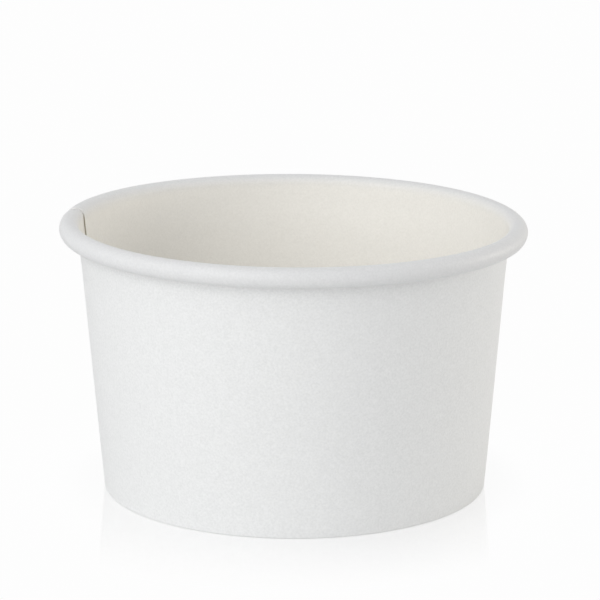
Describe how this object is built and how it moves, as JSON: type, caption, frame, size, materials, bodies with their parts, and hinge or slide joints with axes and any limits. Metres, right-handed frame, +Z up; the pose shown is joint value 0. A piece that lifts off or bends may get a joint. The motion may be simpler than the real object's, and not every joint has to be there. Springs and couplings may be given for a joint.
{
  "type": "paper soup container",
  "caption": "Round squat food container of coated paperboard: tapered sidewall with a lapped side seam, rolled rim, hemmed foot and recessed bottom. Open at the top, no lid.",
  "frame": {"origin": "centre of the foot ring, at the surface that the container stands on", "axes": "+Z up along the container's axis, out of the mouth; +Y away from the camera and +X to its right, so that the side seam is at the left of the picture"},
  "size_m": [0.115, 0.115, 0.067],
  "materials": {
    "sidewall_board": "coated matt white board, with a cream inner face",
    "bottom_board": "coated matt cream board"
  },
  "bodies": {
    "root": {"sidewall": "sidewall_board", "bottom_disc": "bottom_board"}
  },
  "joints": []
}
